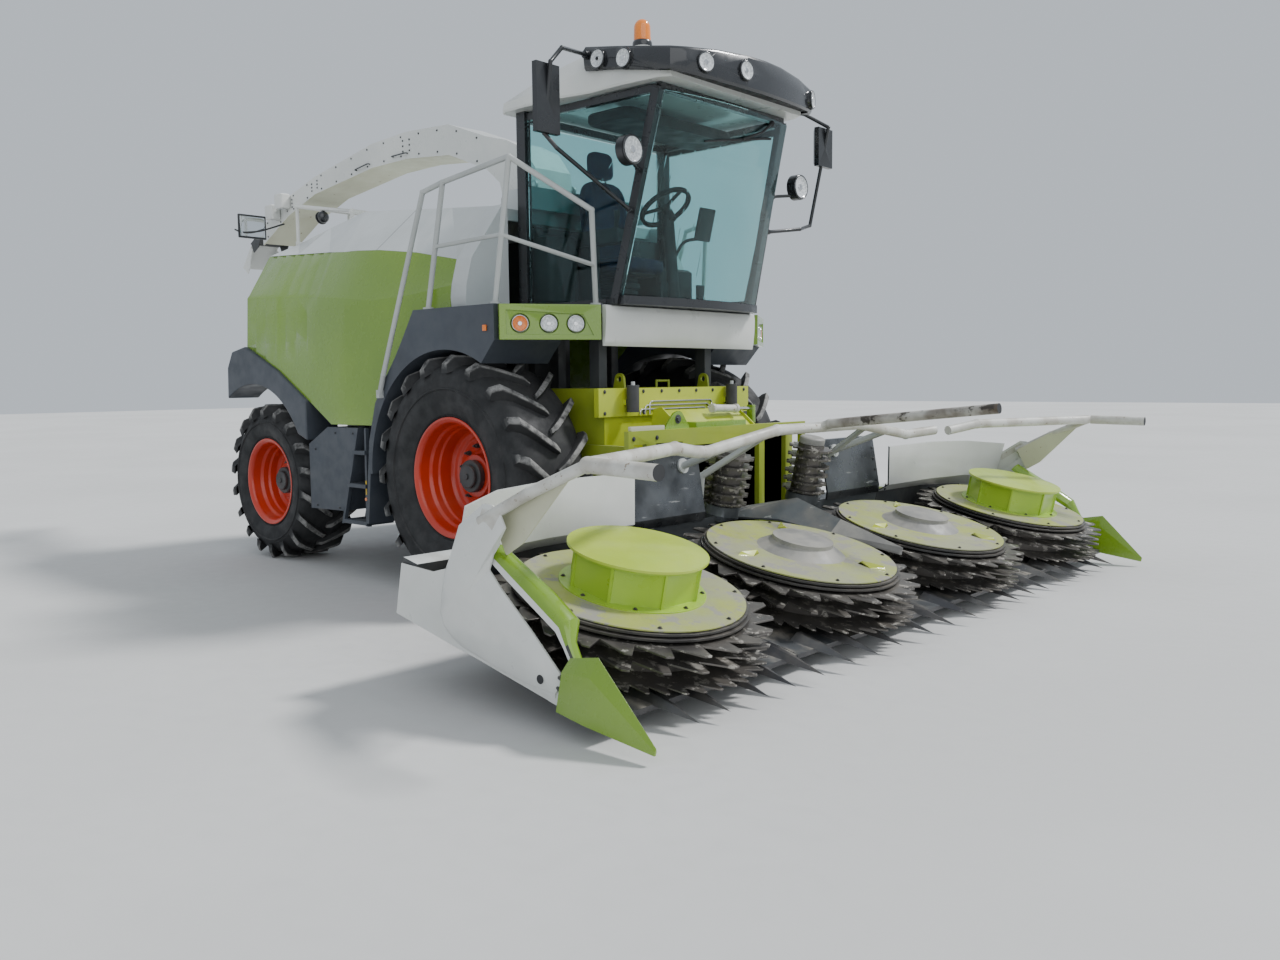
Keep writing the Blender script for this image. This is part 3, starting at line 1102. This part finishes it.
# rows are metres behind the turret, the chute's top and its underside
spoutRows = np.array([(0.38, 3.6, 3.33), (0.88, 3.78, 3.52), (1.5, 3.815, 3.575), (2.04, 3.79, 3.57),
                      (3.06, 3.62, 3.45), (3.59, 3.48, 3.29), (4.12, 3.24, 3.04)])
spoutTrim = dict(turret=-0.65, half=0.195, boltSpan=(0.5, 4.05), boltEvery=0.27, boltShares=(0.14, 0.86),
                 seams=(1.5, 3.06, 3.55), seamGap=0.05, seamShares=(0.3, 0.5, 0.7),
                 handles=(1.48, 2.08), handleLength=0.22, handleShare=0.2, handleOut=0.028,
                 boxes=(3.60, 3.80), boxShare=0.7, boxLow=(-0.075, -0.305, -0.06),
                 boxHigh=(0.075, -0.198, 0.09), lens=(0, -0.25, -0.06), lensRadius=0.042)


def chute(behind, share, y):
    # a place on the spout's side: share 0 is its lower edge and 1 its upper edge
    back, top, under = spoutRows.T
    low, high = np.interp(behind, back, under), np.interp(behind, back, top)
    return np.array([axleX + spoutTrim["turret"] - behind, y, low + (high - low) * share])


def buildSpoutTrim(s):
    bolts, handles = [], []
    spots = [(b, share) for b in np.arange(*s["boltSpan"], s["boltEvery"]) for share in s["boltShares"]]
    spots += [(b + d, share) for b in s["seams"] for d in (-s["seamGap"], s["seamGap"])
              for share in s["seamShares"]]
    for side in (-1, 1):
        half = side * s["half"]
        bolts += [disc(0.009, 0.006, chute(b, share, half), (0, side, 0), 8, 0.0015) for b, share in spots]
        for b in s["handles"]:
            near, far = (chute(b + d, s["handleShare"], half) for d in (0, s["handleLength"]))
            out = np.array([0, side * s["handleOut"], 0])
            handles.append(tube(roundedPath([near, near + out, far + out, far], 0.02), 0.006, 10))
    added("spout_bolts", bolts, "darkSteel", "spout")
    added("spout_handles", handles, "darkSteel", "spout")
    places = [chute(b, s["boxShare"], 0) for b in s["boxes"]]
    added("spout_lamp_boxes", [slab(at + s["boxLow"], at + s["boxHigh"], 0.01, 0.02) for at in places],
          "white", "spout")
    added("spout_lamp_lenses", [disc(s["lensRadius"], 0.006, at + s["lens"], (0, 0, -1), 28, 0.003)
                                for at in places], "lensWhite", "spout")


spoutMirror = dict(place=(-4.42, -0.50, 3.17), back=(0.018, 0.155, 0.12), front=(0.0, 0.155, 0.12),
                   glassBack=(0.0, 0.135, 0.1), glassFront=(0.003, 0.135, 0.1),
                   rod=[(-4.33, -0.193, 3.22), (-4.34, -0.46, 3.12), (-4.42, -0.62, 3.10),
                        (-4.52, -0.64, 3.14)], rodRadius=0.009)


def buildSpoutMirror(s):
    at = station(s["place"])
    rod = tube(roundedPath(station(s["rod"]), 0.06), s["rodRadius"], 12)
    added("spout_mirror_frame", [rod, slab(at - s["back"], at + s["front"], 0.006, 0.03)],
          "blackFrame", "spout")
    added("spout_mirror_glass", [slab(at - s["glassBack"], at + s["glassFront"], 0.001, 0.02)],
          "mirrorGlass", "spout")


cradleLamp = dict(face=(-3.43, -0.3, 3.175), look=(-0.97, 0, -0.22), radius=0.055, depth=0.012,
                  middle=(-3.40, -0.3, 3.18), housing=0.06, squash=(0.75, 1, 1), top=(-3.39, -0.3, 3.25),
                  stem=0.012)


def buildCradleLamp(s):
    shells = list(lamp(station(s["face"]), s["look"], s["radius"], s["depth"]))
    shells.append(ball(s["housing"], station(s["middle"]), s["squash"]))
    shells.append(tube(station([s["middle"], s["top"]]), s["stem"], 10))
    added("cradle_lamp", shells, "visorBlack")


buildSpoutTrim(spoutTrim)
buildSpoutMirror(spoutMirror)
buildCradleLamp(cradleLamp)
print("spout details built")


# header: bolts on the rotors, the shields and the wings, gussets under the guide tubes, caps on the drums

rotorBolts = dict(outerRing=0.545, outerTurn=0.2, outerFace=0.0082, innerRing=0.352, innerFace=0.0162,
                  count=8, radius=0.008)


def headerWay(x, y, z):
    # a direction given in the header's own frame
    return onHeader([x, y, z]) - onHeader([0, 0, 0])


def buildRotorBolts(s, k):
    # the outer ring is on every rotor, and the inner one only on the two domed ones
    middle = (k - 1.5) * rotorPitch
    turns = np.arange(s["count"]) * math.pi / 4
    spots = [(s["outerRing"], a, s["outerFace"]) for a in turns + s["outerTurn"]]
    if k in (0, 3):
        spots += [(s["innerRing"], a, s["innerFace"]) for a in turns]
    bolts = [bolt(onHeader([r * math.cos(a), middle + r * math.sin(a), z]), headerWay(0, 0, 1), s["radius"])
             for r, a, z in spots]
    added(f"rotor_bolts_{k + 1}", bolts, "rimBlack", f"rotor_{k + 1}")


# places in the header's own metres, on the left half
wingTrim = dict(hole=(0.206, 3.0175, -0.238), holeRadius=0.021, gussetY=2.94, gussetThick=0.007,
                gusset=[(-0.31, 0.345), (-0.19, 0.20), (-0.09, 0.29), (0.17, 0.69), (-0.07, 0.55)],
                plateBolts=[(-0.742, 1.545, -0.01), (-0.742, 1.545, 0.02)],
                coneBolts=[(0.31, 3.0035, -0.19), (0.31, 3.0035, -0.24)],
                seamFoot=(-0.7685, 1.46, 0.02), seamSlope=-0.405, seam=(0.04, 0.12, 0.2, 0.28, 0.35),
                seamWay=(0.93, 0, 0.37))
drumCap = dict(ahead=-0.83, apart=0.48,
               profile=[(0.001, 0.396), (0.088, 0.396), (0.092, 0.40), (0.092, 0.44), (0.08, 0.45),
                        (0.001, 0.452)])


def buildWingTrim(s, side, mark):
    flip, out = np.array([1, side, 1]), headerWay(0, side, 0)
    body = "wing_" + mark
    added("shield_hole_" + mark, [disc(s["holeRadius"], 0.004, onHeader(s["hole"] * flip), out, 24, 0.001)],
          "trimBlack", body)
    flat, faces = plate(roundedProfile(s["gusset"], 0.01, 3), s["gussetThick"], 0.001, "xz")
    flat = onHeader((flat + [0, s["gussetY"], 0]) * flip)
    added("tube_gusset_" + mark, [(flat, faces if side > 0 else [f[::-1] for f in faces])], "cream", body)
    bolts = [bolt(onHeader(p * flip), headerWay(1, 0, 0.1), 0.008) for p in s["plateBolts"]]
    bolts += [bolt(onHeader(p * flip), out) for p in s["coneBolts"]]
    added("wing_bolts_" + mark, bolts, "darkSteel", body)
    x, y, z = s["seamFoot"]
    seam = [bolt(onHeader([x + s["seamSlope"] * q, side * y, z + q]), headerWay(*s["seamWay"]), 0.008)
            for q in s["seam"]]
    added("shield_bolts_" + mark, seam, "darkSteel", "header")


def buildDrumCap(s, side, mark):
    cap, faces = lathe(roundedProfile(s["profile"], 0.004, 3), 40, 2)
    place = onHeader(cap + np.array([s["ahead"], side * s["apart"], 0]))
    added("drum_cap_" + mark, [(place, faces)], "coneGrey", "drum_" + mark)


for k in range(4):
    buildRotorBolts(rotorBolts, k)
for side, mark in sides:
    buildWingTrim(wingTrim, side, mark)
    buildDrumCap(drumCap, side, mark)
print("header details built")


# wiper on the windscreen: it stands just ahead of the bowed pane

# the pane leans forward in a straight line from foot to head, and bows by the square of the way out
pane = dict(foot=(0.985, 2.0703), head=(1.33, 3.47), outside=0.048, bow=0.095, half=0.765)
wiper = dict(bladeFrom=(-0.30, 3.17), bladeTo=(0.45, 3.30), bladeOut=0.014, bladeRadius=0.008,
             arm=[(0.42, 3.40, 0.02), (0.3, 3.32, 0.03), (0.08, 3.235, 0.022)], armRadius=0.009,
             knob=(0.42, 3.40, 0.016), knobRadius=0.022)


def panePoint(y, z, out):
    (x0, z0), (x1, z1) = pane["foot"], pane["head"]
    x = x0 + (z - z0) / (z1 - z0) * (x1 - x0) + pane["outside"]
    return station([x + pane["bow"] * (1 - (y / pane["half"]) ** 2) + out, y, z])


def buildWiper(s):
    blade = np.linspace(s["bladeFrom"], s["bladeTo"], 14)
    added("wiper", [tube([panePoint(y, z, s["bladeOut"]) for y, z in blade], s["bladeRadius"], 8),
                    tube([panePoint(*p) for p in s["arm"]], s["armRadius"], 8),
                    ball(s["knobRadius"], panePoint(*s["knob"]))], "trimBlack")


buildWiper(wiper)
print("wiper built")


# floor, light and camera

stage = dict(span=60.0, sky=(0.80, 0.87, 0.95, 1), strength=0.75,
             floor=dict(base=(0.62, 0.62, 0.61), second=(0.58, 0.58, 0.57), rough=0.75, driftScale=0.25,
                        bump=0.05, bumpScale=30.0))


def buildStage(s):
    # a flat grid of quads for a floor, and an even pale sky
    axis = np.linspace(-s["span"], s["span"], 25)
    x, y = np.meshgrid(axis, axis, indexing="ij")
    points, faces = grid(np.stack([x, y, 0 * x], -1))
    mesh = bpy.data.meshes.new("floor")
    mesh.from_pydata(points.tolist(), [], [list(map(int, f)) for f in faces])
    floor = bpy.data.objects.new("floor", mesh)
    bpy.context.collection.objects.link(floor)
    mesh.materials.append(finish("paleFloor", s["floor"]))
    world = bpy.data.worlds.new("studio")
    bpy.context.scene.world = world
    world.use_nodes = True
    back = world.node_tree.nodes["Background"]
    back.inputs["Color"].default_value = s["sky"]
    back.inputs["Strength"].default_value = s["strength"]


# turns are degrees about X, Y and Z, and the spread is the sun's width in degrees
lightSet = [dict(name="key", kind="SUN", turn=(41, 0, 146), power=3.3, spread=9),
            dict(name="fill", kind="SUN", turn=(62, 0, 60), power=0.8, spread=60)]


def buildLights():
    for s in lightSet:
        data = bpy.data.lights.new(s["name"], s["kind"])
        data.energy = s["power"]
        data.angle = math.radians(s["spread"])
        obj = bpy.data.objects.new(s["name"], data)
        obj.rotation_euler = [math.radians(a) for a in s["turn"]]
        bpy.context.collection.objects.link(obj)


cameraPlace = dict(point=(axleX + 6.074, -6.122, 1.551), turn=42.318, tilt=-5.314, roll=-0.547,
                   focalPixels=1067.9, imageWidth=1280)


def buildCamera():
    # the yaw is about Z from +Y, then the tilt, then the roll about the line of sight
    s = cameraPlace
    a, t, q = (math.radians(s[k]) for k in ("turn", "tilt", "roll"))
    ahead = np.array([-math.sin(a) * math.cos(t), math.cos(a) * math.cos(t), math.sin(t)])
    right = np.array([math.cos(a), math.sin(a), 0])
    up = np.cross(right, ahead)
    right, up = math.cos(q) * right + math.sin(q) * up, -math.sin(q) * right + math.cos(q) * up
    data = bpy.data.cameras.new("camera")
    data.sensor_width = 36
    data.lens = s["focalPixels"] / s["imageWidth"] * data.sensor_width
    data.clip_end = 300
    cam = bpy.data.objects.new("camera", data)
    rows = np.eye(4)
    rows[:3, 0], rows[:3, 1], rows[:3, 2], rows[:3, 3] = right, up, -ahead, s["point"]
    cam.matrix_world = Matrix(rows.tolist())
    bpy.context.collection.objects.link(cam)
    bpy.context.scene.camera = cam


buildStage(stage)
buildLights()
buildCamera()
print("stage set")
